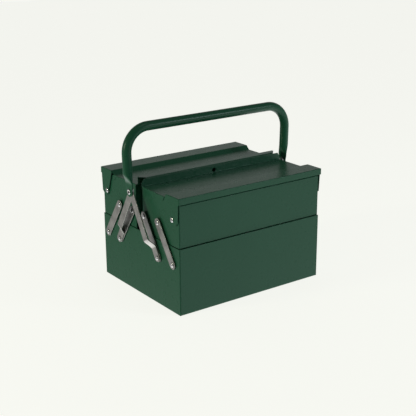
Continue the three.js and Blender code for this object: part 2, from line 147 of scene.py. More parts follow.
patternSet = {
    "grain": {"detail": 2.0, "roughness": 0.45},
    "cloud": {"detail": 4.0, "roughness": 0.6},
    "patch": {"detail": 3.0, "roughness": 0.5},
    "patchRatio": 7.3,  # how much finer the gloss patches are than the clouds
    "speck": {"detail": 6.0, "roughness": 0.7},
    "speckRange": (0.35, 0.75),
    "upward": 0.5,  # dust lies on faces that look up more than this
    "lines": {"detail": 3.0, "roughness": 0.6},
}


# Fine skin of a sprayed or rolled surface: a height for bump, a tone and a gloss mask.
def surfaceSkinGroup():
    group, given, leave = makeGroup(
        "surfaceSkin",
        [("Vector", "Vector", None), ("Grain", "Float", 900.0), ("Cloud", "Float", 9.0)],
        [("Height", "Float"), ("Tone", "Float"), ("Gloss", "Float")],
    )
    grain = noise(group, given["Vector"], given["Grain"], **patternSet["grain"])
    cloud = noise(group, given["Vector"], given["Cloud"], **patternSet["cloud"])
    patchScale = maths(group, "MULTIPLY", given["Cloud"], patternSet["patchRatio"])
    patch = noise(group, given["Vector"], patchScale, **patternSet["patch"])
    wire(group, grain, leave, "Height")
    wire(group, cloud, leave, "Tone")
    wire(group, patch, leave, "Gloss")
    return group


# Fine settled dust and handling haze on faces that look up.
def dustGroup():
    group, given, leave = makeGroup(
        "settledDust",
        [("Vector", "Vector", None), ("Amount", "Float", 0.3), ("Scale", "Float", 40.0)],
        [("Mask", "Float")],
    )
    facing = addNode(group, "ShaderNodeNewGeometry")
    split = addNode(group, "ShaderNodeSeparateXYZ", {"Vector": facing.outputs["Normal"]})
    up = spread(group, split.outputs["Z"], 0, 1, start=patternSet["upward"])
    speck = noise(group, given["Vector"], given["Scale"], **patternSet["speck"])
    start, end = patternSet["speckRange"]
    soft = spread(group, speck, 0, 1, start, end)
    both = maths(group, "MULTIPLY", up, soft)
    wire(group, maths(group, "MULTIPLY", both, given["Amount"]), leave, "Mask")
    return group


# Long fine lines left by rolling and brushing, along the vector's second axis.
def drawnLinesGroup():
    group, given, leave = makeGroup(
        "drawnLines",
        [("Vector", "Vector", None), ("Across", "Float", 2600.0), ("Along", "Float", 22.0)],
        [("Lines", "Float")],
    )
    stretch = addNode(group, "ShaderNodeCombineXYZ", {"X": given["Across"], "Y": given["Along"],
                                                      "Z": given["Across"]})
    placed = addNode(group, "ShaderNodeVectorMath", {0: given["Vector"], 1: stretch.outputs[0]},
                     operation="MULTIPLY")
    wire(group, noise(group, placed.outputs[0], 1.0, **patternSet["lines"]), leave, "Lines")
    return group


groups = {"skin": surfaceSkinGroup(), "dust": dustGroup(), "lines": drawnLinesGroup()}


def newMaterial(name):
    material = bpy.data.materials.new(name)
    material.use_nodes = True
    shader = material.node_tree.nodes["Principled BSDF"]
    return material, material.node_tree, shader


def placeGroup(tree, group, inputs):
    return addNode(tree, "ShaderNodeGroup", inputs, node_tree=groups[group]).outputs


def addRoughness(tree, shader, mask, low, high):
    wire(tree, spread(tree, mask, low, high), shader, "Roughness")


def addBump(tree, shader, height, strength, distance):
    bump = addNode(tree, "ShaderNodeBump", {"Height": height, "Strength": strength,
                                            "Distance": distance})
    wire(tree, bump.outputs["Normal"], shader, "Normal")


paintSet = {
    "colour": (0.0235, 0.122, 0.064, 1),
    "deep": (0.0195, 0.106, 0.056, 1),
    "haze": (0.12, 0.13, 0.11, 1),
    "roughness": (0.23, 0.34),
    "shine": 0.20,
    "peelGrain": 700.0,
    "peelDepth": 0.035 * mm,
    "peelStrength": 0.35,
    "dust": 0.06,
}


def paintMaterial(name, settings):
    material, tree, shader = newMaterial(name)
    place = addNode(tree, "ShaderNodeTexCoord").outputs["Object"]
    skin = placeGroup(tree, "skin", {"Vector": place, "Grain": settings["peelGrain"]})
    dust = placeGroup(tree, "dust", {"Vector": place, "Amount": settings["dust"]})
    colour = mixed(tree, skin["Tone"], settings["deep"], settings["colour"])
    dusty = mixed(tree, dust["Mask"], colour, settings["haze"])
    wire(tree, dusty, shader, "Base Color")
    addRoughness(tree, shader, skin["Gloss"], *settings["roughness"])
    addBump(tree, shader, skin["Height"], settings["peelStrength"], settings["peelDepth"])
    shader.inputs["Specular IOR Level"].default_value = settings["shine"]
    return material


zincSet = {
    "light": (0.58, 0.575, 0.545, 1),
    "dark": (0.30, 0.295, 0.28, 1),
    "roughness": (0.34, 0.52),
    "grain": 1500.0,
    "cloud": 60.0,
    "contrast": (0.35, 0.65),
    "lineDepth": 0.012 * mm,
    "lineStrength": 0.5,
    "metal": 0.9,
}


def zincMaterial(name, settings):
    material, tree, shader = newMaterial(name)
    place = addNode(tree, "ShaderNodeUVMap", uv_map="strip").outputs["UV"]
    lines = placeGroup(tree, "lines", {"Vector": place})["Lines"]
    skin = placeGroup(tree, "skin", {"Vector": place, "Grain": settings["grain"],
                                     "Cloud": settings["cloud"]})
    tone = maths(tree, "MULTIPLY", maths(tree, "ADD", lines, skin["Tone"]), 0.5)
    start, end = settings["contrast"]
    sharper = spread(tree, tone, 0, 1, start, end)
    wire(tree, mixed(tree, sharper, settings["dark"], settings["light"]), shader, "Base Color")
    addRoughness(tree, shader, skin["Gloss"], *settings["roughness"])
    addBump(tree, shader, lines, settings["lineStrength"], settings["lineDepth"])
    shader.inputs["Metallic"].default_value = settings["metal"]
    return material


rivetSet = {
    "light": (0.80, 0.80, 0.79, 1),
    "dark": (0.60, 0.60, 0.60, 1),
    "roughness": (0.14, 0.3),
    "grain": 1800.0,
    "cloud": 260.0,
    "markDepth": 0.01 * mm,
    "markStrength": 0.4,
    "metal": 1.0,
}


def rivetMaterial(name, settings):
    material, tree, shader = newMaterial(name)
    place = addNode(tree, "ShaderNodeTexCoord").outputs["Object"]
    skin = placeGroup(tree, "skin", {"Vector": place, "Grain": settings["grain"],
                                     "Cloud": settings["cloud"]})
    wire(tree, mixed(tree, skin["Tone"], settings["dark"], settings["light"]), shader, "Base Color")
    addRoughness(tree, shader, skin["Gloss"], *settings["roughness"])
    addBump(tree, shader, skin["Height"], settings["markStrength"], settings["markDepth"])
    shader.inputs["Metallic"].default_value = settings["metal"]
    return material


finishes = {
    "green_paint": paintMaterial("greenPaint", paintSet),
    "zinc_plate": zincMaterial("zincPlate", zincSet),
    "bright_steel": rivetMaterial("brightSteel", rivetSet),
}
print("materials made")

# Sheet steel of the boxes and lids; its edge is how far cut edges are eased.
sheet = {"thickness": 1 * mm, "edge": 0.2 * mm, "bendSteps": 5}
foldAngle = math.radians(20)  # bends sharper than this are rounded
edgeAngle = math.radians(38)  # edges sharper than this are eased
mergeGap = 0.005 * mm
mirrorGap = 0.01 * mm
cutGap = 0.001 * mm
drillSides = 32


def chain(bm, points):
    verts = [bm.verts.new(point) for point in points]
    return [bm.edges.new(pair) for pair in zip(verts, verts[1:])]


# Extrudes edges and moves them, and gives back the moved edges.
def pushEdges(bm, edges, move):
    made = bmesh.ops.extrude_edge_only(bm, edges=edges)["geom"]
    verts = {item for item in made if isinstance(item, bmesh.types.BMVert)}
    bmesh.ops.translate(bm, vec=move, verts=list(verts))
    lines = [item for item in made if isinstance(item, bmesh.types.BMEdge)]
    return [line for line in lines if set(line.verts) <= verts]


def roundFolds(bm, radius, steps, wanted=None):
    folds = [edge for edge in bm.edges if len(edge.link_faces) == 2]
    folds = [edge for edge in folds if edge.calc_face_angle() > foldAngle]
    if wanted:
        folds = [edge for edge in folds if wanted(edge)]
    bmesh.ops.bevel(bm, geom=folds, offset=radius, offset_type="OFFSET", segments=steps,
                    profile=0.5, affect="EDGES", clamp_overlap=True, material=-1)


# Merges doubles and turns the faces out: outside is a direction, and the face that lies
# furthest that way has to look that way.
def turnOut(bm, outside):
    bmesh.ops.remove_doubles(bm, verts=bm.verts, dist=mergeGap)
    bmesh.ops.recalc_face_normals(bm, faces=bm.faces)
    outside = Vector(outside)
    facing = [face for face in bm.faces if abs(face.normal.dot(outside)) > 0.9]
    furthest = max(facing, key=lambda face: face.calc_center_median().dot(outside))
    if furthest.normal.dot(outside) < 0:
        bmesh.ops.reverse_faces(bm, faces=bm.faces)


# Pushes a closed outline's face along X into a plate.
def thicken(bm, face, depth):
    made = bmesh.ops.extrude_face_region(bm, geom=[face])["geom"]
    verts = [item for item in made if isinstance(item, bmesh.types.BMVert)]
    bmesh.ops.translate(bm, vec=(depth, 0, 0), verts=verts)


def absorb(bm, other):
    holder = bpy.data.meshes.new("holder")
    other.to_mesh(holder)
    other.free()
    bm.from_mesh(holder)
    bpy.data.meshes.remove(holder)


def drillObject(radius, start, end):
    bm = bmesh.new()
    bmesh.ops.create_cone(bm, cap_ends=True, segments=drillSides, radius1=radius, radius2=radius,
                          depth=(end - start).length)
    turn = (end - start).to_track_quat("Z", "Y").to_matrix().to_4x4()
    bm.transform(Matrix.Translation((start + end) / 2) @ turn)
    return objectFrom("drill", bm)


def objectFrom(name, bm):
    mesh = bpy.data.meshes.new(name)
    bm.to_mesh(mesh)
    bm.free()
    made = bpy.data.objects.new(name, mesh)
    scene.collection.objects.link(made)
    return made


def bakeModifiers(piece):
    bpy.context.view_layer.update()
    seen = piece.evaluated_get(bpy.context.evaluated_depsgraph_get())
    finished = bpy.data.meshes.new_from_object(seen)
    piece.modifiers.clear()
    piece.data = finished


# A finished piece: walls thickened, holes drilled, edges eased, riding where its node rides.
def finishPiece(node, suffix, bm, wall=0, drills=(), edge=None, edgeSteps=2):
    piece = objectFrom(node + suffix, bm)
    if wall:
        modifier = piece.modifiers.new("wall", "SOLIDIFY")
        modifier.thickness = wall
        modifier.offset = -1
        modifier.use_even_offset = True
        bakeModifiers(piece)
    for radius, start, end in drills:
        tool = drillObject(radius, start, end)
        modifier = piece.modifiers.new("hole", "BOOLEAN")
        modifier.operation = "DIFFERENCE"
        modifier.solver = "EXACT"
        modifier.object = tool
        bakeModifiers(piece)
        bpy.data.objects.remove(tool)
    if edge:
        modifier = piece.modifiers.new("edges", "BEVEL")
        modifier.limit_method = "ANGLE"
        modifier.angle_limit = edgeAngle
        modifier.width = edge
        modifier.segments = edgeSteps
    piece.data.shade_smooth()
    modifier = piece.modifiers.new("evenShade", "WEIGHTED_NORMAL")
    modifier.weight = 100
    slot = slotOf(node)
    piece.data.materials.clear()
    piece.data.materials.append(finishes[slot])
    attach(piece, bodyOf[node])
    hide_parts(node)
    return piece


def slotOf(node):
    if "rivet" in node or "washer" in node:
        return "bright_steel"
    return "zinc_plate" if node.endswith(("link", "arm")) else "green_paint"


def mirrored(bm, endSign, sideSign):
    bmesh.ops.scale(bm, vec=(endSign, sideSign, 1), verts=bm.verts)


# The box of a node, mirrored to +X and +Y by the signs of its end and side.
def placeOf(node, endSign=1, sideSign=1):
    low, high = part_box(node)
    spanX = sorted((low.x * endSign, high.x * endSign))
    spanY = sorted((low.y * sideSign, high.y * sideSign))
    return Vector((spanX[0], spanY[0], low.z)), Vector((spanX[1], spanY[1], high.z))


# Folded wraps: the front wall, floor and rear wall of each box in one sheet.
wrapSet = {
    "hemDepth": 2.1 * mm,
    "hemDrop": 7 * mm,
    "hemRound": 1.0 * mm,
    "bendRound": 1.8 * mm,
    "stepDrop": 6.1 * mm,  # the tray's outer wall steps in here, under the lid's apron
    "stepIn": 1.9 * mm,
    "stepRound": 0.5 * mm,
    "stepSteps": 3,
}


# One wall's section from its hem down to the floor; inwards is the sign of Y into the box.
def wallLine(wall, inwards, stepIn, floorZ, rim, settings):
    upper = wall + inwards * stepIn
    hem = upper + inwards * settings["hemDepth"]
    line = [(hem, rim - settings["hemDrop"]), (hem, rim), (upper, rim)]
    if stepIn:
        level = rim - settings["stepDrop"]
        line += [(upper, level), (wall, level - stepIn / 2)]
    return line + [(wall, floorZ)]


def makeWrap(node, settings):
    low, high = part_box(node)
    stepIn = {side: settings["stepIn"] if node.startswith(side) else 0 for side in sides}
    line = wallLine(low.y, 1, stepIn["front"], low.z, high.z, settings)
    line += reversed(wallLine(high.y, -1, stepIn["rear"], low.z, high.z, settings))
    bm = bmesh.new()
    edges = chain(bm, [(low.x, y, z) for y, z in line])
    pushEdges(bm, edges, (high.x - low.x, 0, 0))
    turnOut(bm, (0, 0, -1))
    middle = (low.z + high.z) / 2
    rimLevel = high.z - settings["stepDrop"] / 2

    def isStep(edge):
        return middle < min(vert.co.z for vert in edge.verts) < rimLevel

    steps = sheet["bendSteps"]
    roundFolds(bm, settings["bendRound"], steps, lambda edge: edge.verts[0].co.z < middle)
    roundFolds(bm, settings["hemRound"], steps, lambda edge: edge.verts[0].co.z > rimLevel)
    roundFolds(bm, settings["stepRound"], settings["stepSteps"], isStep)
    finishPiece(node, "_sheet", bm, wall=sheet["thickness"], edge=sheet["edge"])


for wrapNode in ("bottom_wrap", "front_tray_wrap", "rear_tray_wrap"):
    makeWrap(wrapNode, wrapSet)

# Pressed end panels, with a hem at the top and a welded flange inside.
endSet = {
    "strip": 1.7 * mm,  # border round the face
    "round": 1.2 * mm,
    "hemDepth": 2.1 * mm,
    "hemDrop": 7 * mm,
    "hemInset": 2.3 * mm,
    "hemRound": 1.0 * mm,
    "flangeInset": 1.3 * mm,
    "flangeSink": 0.7,  # share of the sheet's thickness between face and flange
    "flangeDepth": 11 * mm,
    "flangeDrop": 7.3 * mm,
    "flangeRound": 2.4 * mm,
}


def makeEndPanel(node, endSign, settings):
    low, high = placeOf(node, endSign)
    inset, drop = settings["hemInset"], settings["hemDrop"]
    bm = bmesh.new()
    outline = [
        (low.y, high.z), (low.y, low.z), (high.y, low.z), (high.y, high.z),
        (high.y - inset, high.z), (low.y + inset, high.z),
    ]
    verts = [bm.verts.new((high.x, y, z)) for y, z in outline]
    bm.faces.new(verts)
    bm.edges.ensure_lookup_table()
    border = [bm.edges.get(pair) for pair in zip(verts[:4], verts[1:4])]
    hem = [bm.edges.get((verts[4], verts[5]))]
    pushEdges(bm, border, (-settings["strip"], 0, 0))
    hem = pushEdges(bm, hem, (-settings["hemDepth"], 0, 0))
    pushEdges(bm, hem, (0, 0, -drop))
    turnOut(bm, (1, 0, 0))
    hemLevel = high.z - drop / 2

    def isHem(edge):
        return min(vert.co.z for vert in edge.verts) > hemLevel

    roundFolds(bm, settings["hemRound"], sheet["bendSteps"], isHem)
    roundFolds(bm, settings["round"], sheet["bendSteps"], lambda edge: not isHem(edge))
    flange = bmesh.new()
    top = high.z - settings["flangeDrop"]
    edgeIn = settings["flangeInset"]
    line = [
        (low.y + edgeIn, top), (low.y + edgeIn, low.z + edgeIn),
        (high.y - edgeIn, low.z + edgeIn), (high.y - edgeIn, top),
    ]
    start = high.x - settings["flangeSink"] * sheet["thickness"]
    edges = chain(flange, [(start, y, z) for y, z in line])
    pushEdges(flange, edges, (-settings["flangeDepth"], 0, 0))
    turnOut(flange, (0, 0, -1))
    roundFolds(flange, settings["flangeRound"], sheet["bendSteps"])
    absorb(bm, flange)
    if endSign < 0:
        mirrored(bm, -1, 1)
        bmesh.ops.reverse_faces(bm, faces=bm.faces)
    finishPiece(node, "_pressing", bm, wall=sheet["thickness"], edge=sheet["edge"])


for end, endSign in ends.items():
    for owner in ("bottom", "front_tray", "rear_tray"):
        makeEndPanel(f"{owner}_{end}_end", endSign, endSet)
print("boxes made")

# Lids: a ledge with an apron, a step, a low panel, and a tab and a lip at each end.
lidSet = {
    "lift": 0.4 * mm,
    "ledgeWidth": 40.4 * mm,
    "ledgeRise": 7.4 * mm,
    "stepRun": 12 * mm,
    "apron": 12.2 * mm,
    "lip": 3.5 * mm,
    "notch": 5.8 * mm,
    "earDrop": 9.5 * mm,
    "earFoot": 6 * mm,
    "earFlare": 5 * mm,
    "slant": {"front": 6.5 * mm, "rear": -5 * mm},
    "fold": 1.2 * mm,
}
tabSet = {
    "width": 43.4 * mm,
    "shoulder": 47.7 * mm,
    "setBack": 3.8 * mm,  # below the apron
    "neck": 1 * mm,
    "taper": 5.6 * mm,
    "depth": 54.7 * mm,
    "footOuter": 13.4 * mm,
    "footInner": 26.4 * mm,
    "elbowDrop": 16.7 * mm,
    "corner": 4 * mm,
}
uprightSet = {"rise": 14.2 * mm, "cornerRun": 5 * mm, "cornerDrop": 8 * mm}
ridgeSet = {
    "back": 8 * mm,
    "front": 8.5 * mm,
    "rise": 15.2 * mm,
    "skirt": 14.4 * mm,
    "endInset": 4 * mm,
    "cutRun": 10 * mm,
    "cutDepth": 11 * mm,
}
lockSet = {"radius": 4.5 * mm, "drop": 9.2 * mm, "reach": 30 * mm}


def makeLid(side, sideSign):
    node = side + "_lid"
    low, high = placeOf(node, 1, sideSign)
    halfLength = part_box("bottom_right_end")[1].x
    lidEnd, lidSide = high.x, high.y
    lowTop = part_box(side + "_tray_wrap")[1].z + lidSet["lift"] + sheet["thickness"]
    ledgeTop = lowTop + lidSet["ledgeRise"]
    apronFoot = ledgeTop - lidSet["apron"]
    ledgeInner = lidSide - lidSet["ledgeWidth"]
    stepFoot = ledgeInner - lidSet["stepRun"]
    tabInner = lidSide - tabSet["width"]
    lipEnd = tabInner - lidSet["notch"]
    isFront = side == "front"
    panelInner = low.y if isFront else ridgeSet["back"]
    if isFront:
        panelInner += sheet["thickness"]
    run = uprightSet["cornerRun"] if isFront else ridgeSet["endInset"]
    stations = [-halfLength, run - halfLength, halfLength - run, halfLength]
    if not isFront:
        cut = run + ridgeSet["cutRun"]
        stations = stations[:2] + [cut - halfLength, halfLength - cut] + stations[2:]

    def slope(y):
        return ledgeTop - (ledgeInner - y) * (lidSet["ledgeRise"] / lidSet["stepRun"])

    profile = [
        (lidSide, apronFoot), (lidSide, ledgeTop), (ledgeInner, ledgeTop),
        (tabInner, slope(tabInner)), (lipEnd, slope(lipEnd)), (stepFoot, lowTop),
        (panelInner, lowTop),
    ]
    bm = bmesh.new()
    row = chain(bm, [(stations[0], y, z) for y, z in profile])
    innerEdges = []
    for left, right in zip(stations, stations[1:]):
        newRow = pushEdges(bm, row, (right - left, 0, 0))
        foot = [edge for edge in bm.edges if edgeAt(edge, y=panelInner, x0=left, x1=right)]
        innerEdges.append(foot[0])
        row = newRow
    # the ledge's overhang, its tab and the lip at each end
    for endSign in (-1, 1):
        place = endSign * halfLength
        edges = [
            edge for edge in bm.edges
            if all(abs(vert.co.x - place) < near for vert in edge.verts)
            and min(vert.co.y for vert in edge.verts) > tabInner - near
        ]
        pushEdges(bm, edges, (endSign * (lidEnd - halfLength), 0, 0))
        tabPoints = [
            (lidSide - tabSet["setBack"], apronFoot),
            (lidSide - tabSet["setBack"], apronFoot - tabSet["neck"]),
            (lidSide - tabSet["taper"], ledgeTop - tabSet["shoulder"]),
            (lidSide - tabSet["footOuter"], ledgeTop - tabSet["depth"]),
            (lidSide - tabSet["footInner"] + tabSet["corner"], ledgeTop - tabSet["depth"]),
            (lidSide - tabSet["footInner"], ledgeTop - tabSet["depth"] + tabSet["corner"]),
            (tabInner - lidSet["slant"][side], ledgeTop - tabSet["elbowDrop"]),
        ]
        addFlap(bm, endSign * lidEnd, profile[3::-1], tabPoints)
        earFoot = lipEnd - lidSet["slant"][side]
        lipPoints = [
            (earFoot, lowTop - lidSet["earDrop"]),
            (earFoot - lidSet["earFoot"], lowTop - lidSet["earDrop"]),
            (earFoot - lidSet["earFoot"] - lidSet["earFlare"], lowTop - lidSet["lip"]),
            (panelInner, lowTop - lidSet["lip"]),
        ]
        addFlap(bm, place, profile[:3:-1], lipPoints)
    if isFront:
        addUpright(bm, innerEdges, halfLength)
    else:
        addRidge(bm, innerEdges, halfLength)
    turnOut(bm, (0, 1, 0))
    if sideSign < 0:
        mirrored(bm, 1, -1)
        bmesh.ops.reverse_faces(bm, faces=bm.faces)
    roundFolds(bm, lidSet["fold"], sheet["bendSteps"])
    lockHeight = lowTop + uprightSet["rise"] - lockSet["drop"]
    start = Vector((0, -lockSet["reach"], lockHeight))
    drills = [(lockSet["radius"], start, Vector((0, lockSet["reach"], lockHeight)))]
    finishPiece(node, "_sheet", bm, wall=sheet["thickness"], drills=drills, edge=sheet["edge"])


# Whether an edge runs along X between two places, at that y.
def edgeAt(edge, y, x0, x1):
    first, second = edge.verts
    if abs(first.co.y - y) > near or abs(second.co.y - y) > near:
        return False
    spanX = sorted((first.co.x, second.co.x))
    return abs(spanX[0] - x0) < near and abs(spanX[1] - x1) < near


# A flap that hangs from the vertices standing at these points of the profile.
def addFlap(bm, place, shared, points):
    def standing(y, z):
        spot = Vector((place, y, z))
        return min(bm.verts, key=lambda vert: (vert.co - spot).length)

    fixed = [standing(y, z) for y, z in shared]
    free = [bm.verts.new((place, y, z)) for y, z in points]
    bm.faces.new(fixed + free)


def addUpright(bm, innerEdges, halfLength):
    top = pushEdges(bm, innerEdges, (0, 0, uprightSet["rise"]))
    corners = {vert for edge in top for vert in edge.verts if abs(vert.co.x) > halfLength - near}
    bmesh.ops.translate(bm, vec=(0, 0, -uprightSet["cornerDrop"]), verts=list(corners))


def addRidge(bm, innerEdges, halfLength):
    top = pushEdges(bm, innerEdges[1:-1], (0, 0, ridgeSet["rise"]))
    front = pushEdges(bm, top, (0, -ridgeSet["back"] - ridgeSet["front"], 0))
    stripEnd = halfLength - ridgeSet["endInset"]
    corners = {vert for edge in front for vert in edge.verts if abs(vert.co.x) > stripEnd - near}
    bmesh.ops.translate(bm, vec=(0, ridgeSet["cutDepth"], 0), verts=list(corners))
    middle = [edge for edge in front if all(vert not in corners for vert in edge.verts)]
    pushEdges(bm, middle, (0, 0, -ridgeSet["skirt"]))


for side, sideSign in sides.items():
    makeLid(side, sideSign)
print("lids made")

# The swinging links, and the fixed bent arms that carry the handle.
stripSet = {
    "linkWidth": 17 * mm,
    "armWidth": 16 * mm,
    "thickness": 2 * mm,
    "edge": 0.35 * mm,
    "bendStart": 19 * mm,
    "bendEnd": 39 * mm,
    "bendCuts": 12,
    "hole": 2.7 * mm,
    "drillPast": 2 * mm,
    "roundSides": 48,
}


# Runs smoothly from 0 at low to 1 at high.
def ease(value, low, high):
    t = min(max((value - low) / (high - low), 0), 1)
    return t * t * (3 - 2 * t)


# A flat strip with round ends, standing on the origin with its thickness along X.
def uprightStrip(width, length, inner, thickness):
    bm = bmesh.new()
    bmesh.ops.create_circle(bm, cap_ends=True, segments=stripSet["roundSides"],
                            radius=width / 2)
    upper = [vert for vert in bm.verts if vert.co.y > cutGap]
    bmesh.ops.translate(bm, vec=(0, length, 0), verts=upper)
    bm.transform(Matrix(((0, 0, 1, inner), (1, 0, 0, 0), (0, 1, 0, 0), (0, 0, 0, 1))))
    thicken(bm, bm.faces[:][0], thickness)
    return bm


# The strip's own map in metres: across it and along it.
def mapStrip(bm):
    layer = bm.loops.layers.uv.new("strip")
    for face in bm.faces:
        for loop in face.loops:
            place = loop.vert.co
            loop[layer].uv = (place.y + place.x, place.z)


def placeStrip(bm, foot, head, endSign, sideSign):
    lean = math.atan2(foot[0] - head[0], head[1] - foot[1])
    turn = Matrix.Rotation(lean, 4, "X")
    bm.transform(Matrix.Translation((0, foot[0], foot[1])) @ turn)
    mirrored(bm, endSign, sideSign)
    turnOut(bm, (1, 0, 0))


def reachOf(foot, head):
    return math.hypot(head[0] - foot[0], head[1] - foot[1])


def stripDrills(points, inner, outer, endSign, sideSign):
    past = stripSet["drillPast"]
    return [
        (
            stripSet["hole"],
            Vector((endSign * (inner - past), sideSign * y, z)),
            Vector((endSign * (outer + past), sideSign * y, z)),
        )
        for y, z in points
    ]


def jointPlace(name):
    place = joints[name]["pos_m"]
    return abs(place[1]), place[2]


# A side's pivots as (y, z): the feet of the outer and inner links, then their heads.
def pivotsOf(side):
    outerFoot = jointPlace(side + "_link_swing")
    innerFoot = jointPlace(side + "_inner_link_swing")
    outerHead = jointPlace(side + "_tray_pivot")
    innerHead = (outerHead[0] - outerFoot[0] + innerFoot[0], outerHead[1])
    return outerFoot, innerFoot, outerHead, innerHead


def makeLink(node, foot, head, endSign, sideSign):
    low, high = placeOf(node, endSign, sideSign)
    bm = uprightStrip(stripSet["linkWidth"], reachOf(foot, head), low.x, high.x - low.x)
    mapStrip(bm)
    placeStrip(bm, foot, head, endSign, sideSign)
    drills = stripDrills([foot, head], low.x, high.x, endSign, sideSign)
    finishPiece(node, "_strap", bm, drills=drills, edge=stripSet["edge"], edgeSteps=3)


def makeArm(node, foot, head, endSign, sideSign):
    low, high = placeOf(node, endSign, sideSign)
    thickness = stripSet["thickness"]
    bm = uprightStrip(stripSet["armWidth"], reachOf(foot, head), low.x, thickness)
    start, end = stripSet["bendStart"], stripSet["bendEnd"]
    for i in range(stripSet["bendCuts"] + 1):
        level = start + (end - start) * i / stripSet["bendCuts"]
        bmesh.ops.bisect_plane(bm, geom=bm.verts[:] + bm.edges[:] + bm.faces[:], dist=cutGap,
                               plane_co=(0, 0, level), plane_no=(0, 0, 1))
    mapStrip(bm)
    step = high.x - low.x - thickness
    for vert in bm.verts:
        vert.co.x += step * ease(vert.co.z, start, end)
    placeStrip(bm, foot, head, endSign, sideSign)
    drills = stripDrills([foot], low.x, low.x + thickness, endSign, sideSign)
    drills += stripDrills([head], high.x - thickness, high.x, endSign, sideSign)
    finishPiece(node, "_bar", bm, drills=drills, edge=stripSet["edge"], edgeSteps=3)


hinge = jointPlace("handle_fold")
for side, sideSign in sides.items():
    outerFoot, innerFoot, outerHead, innerHead = pivotsOf(side)
    for end, endSign in ends.items():
        corner = f"{side}_{end}"
        makeLink(corner + "_outer_link", outerFoot, outerHead, endSign, sideSign)
        makeLink(corner + "_inner_link", innerFoot, innerHead, endSign, sideSign)
        makeArm(corner + "_arm", innerFoot, hinge, endSign, sideSign)
print("links and arms made")

# The handle: one bent tube whose ends are pressed flat.
handleSet = {
    "tube": 18.5 * mm,
    "bend": 47 * mm,
    "splay": 2 * mm,
    "tongueWidth": 20 * mm,
    "shoulder": 24 * mm,
    "tongueThickness": 2.5 * mm,
    "legOffset": 1.8 * mm,
    "tongueTop": 14.7 * mm,
    "tubeStart": 37 * mm,
    "boxiness": 0.35,
    "sides": 40,
    "bendSteps": 18,
    "footSteps": (0.01, 0.03, 0.08, 0.16, 0.28, 0.44, 0.62, 0.8, 1),  # closer towards the round end
    "legSteps": 16,
    "hole": 2.7 * mm,
    "drillReach": 6 * mm,
}


def squared(value, power):
    return math.copysign(abs(value) ** power, value)


def makeHandle(node, settings):
    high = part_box(node)[1]
    radius = settings["tube"] / 2
    legX = high.x - radius
    barZ = high.z - radius
    hingeZ = hinge[1]
    footRadius = settings["tongueWidth"] / 2
    bendZ = barZ - settings["bend"]
    bm = bmesh.new()
    bmesh.ops.create_circle(bm, cap_ends=False, segments=settings["sides"], radius=radius)
    bmesh.ops.translate(bm, vec=(legX, 0, hingeZ - footRadius), verts=bm.verts)
    count = settings["legSteps"]
    footSteps = [footRadius * t for t in settings["footSteps"]]
    legSteps = [footRadius + settings["tubeStart"] * (i + 1) / count for i in range(count)]
    stations = [0] + footSteps + legSteps + [footRadius + bendZ - hingeZ]
    row = bm.edges[:]
    for below, above in zip(stations, stations[1:]):
        row = pushEdges(bm, row, (0, 0, above - below))
    made = bmesh.ops.spin(bm, geom=row, cent=(legX - settings["bend"], 0, bendZ), axis=(0, -1, 0),
                          angle=math.pi / 2, steps=settings["bendSteps"], use_merge=False,
                          use_duplicate=False, dvec=(0, 0, 0))["geom_last"]
    row = [item for item in made if isinstance(item, bmesh.types.BMEdge)]
    pushEdges(bm, row, (settings["bend"] - legX, 0, 0))
    for vert in bm.verts:
        pressLeg(vert, legX, radius, hingeZ, bendZ, settings)
    foot = [edge for edge in bm.edges if edge.is_boundary and edge.verts[0].co.z < hingeZ]
    bmesh.ops.edgeloop_fill(bm, edges=foot)
    bmesh.ops.mirror(bm, geom=bm.verts[:] + bm.edges[:] + bm.faces[:], axis="X",
                     merge_dist=mirrorGap)
    turnOut(bm, (0, 0, 1))
    tongueX = legX - settings["splay"] - settings["legOffset"]
    reach = Vector((settings["drillReach"], 0, 0))
    drills = []
    for endSign in (-1, 1):
        middle = Vector((endSign * tongueX, 0, hingeZ))
        drills.append((settings["hole"], middle - reach, middle + reach))
    finishPiece(node, "_tube", bm, drills=drills, edge=None)


# Moves a point of the round leg to where the leg leans in and its end is pressed flat.
def pressLeg(vert, legX, radius, hingeZ, bendZ, settings):
    up = vert.co.z - hingeZ
    if vert.co.z > bendZ + mirrorGap:
        return
    footRadius = settings["tongueWidth"] / 2
    flat = 1 - ease(up, settings["tongueTop"], settings["tubeStart"])
    run = min(max(up + footRadius, 0), footRadius)
    foot = max(math.sqrt(run * (2 * footRadius - run)), settings["hole"] / 2)
    spreadOut = ease(up, 0, settings["tongueTop"])
    pressed = foot + (settings["shoulder"] / 2 - foot) * spreadOut
    thin = radius + (settings["tongueThickness"] / 2 - radius) * flat
    wide = radius + (pressed - radius) * flat
    power = 1 + (settings["boxiness"] - 1) * flat
    across, along = (vert.co.x - legX) / radius, vert.co.y / radius
    lean = settings["splay"] * (1 - ease(up, 0, bendZ - hingeZ))
    centre = legX - lean - settings["legOffset"] * flat
    vert.co.x = centre + squared(across, power) * thin
    vert.co.y = squared(along, power) * wide


makeHandle("handle", handleSet)
print("handle made")

# Rivets with low domed heads, and the washers between tray and link.
rivetShape = {
    "shank": 2.5 * mm,
    "head": 4.8 * mm,
    "dome": 1.5 * mm,
    "innerHead": 4.5 * mm,
    "innerDome": 1.2 * mm,
    "rim": 0.35 * mm,
    "collarInset": 0.3 * mm,
    "bore": 1.8 * mm,
    "tubeHead": 5.4 * mm,
    "edge": 0.08 * mm,
    "steps": 32,
    "domeSteps": 7,
    "rollSteps": 10,
}
washerShape = {"rim": 5.5 * mm, "bore": 2.7 * mm, "round": 0.15 * mm}


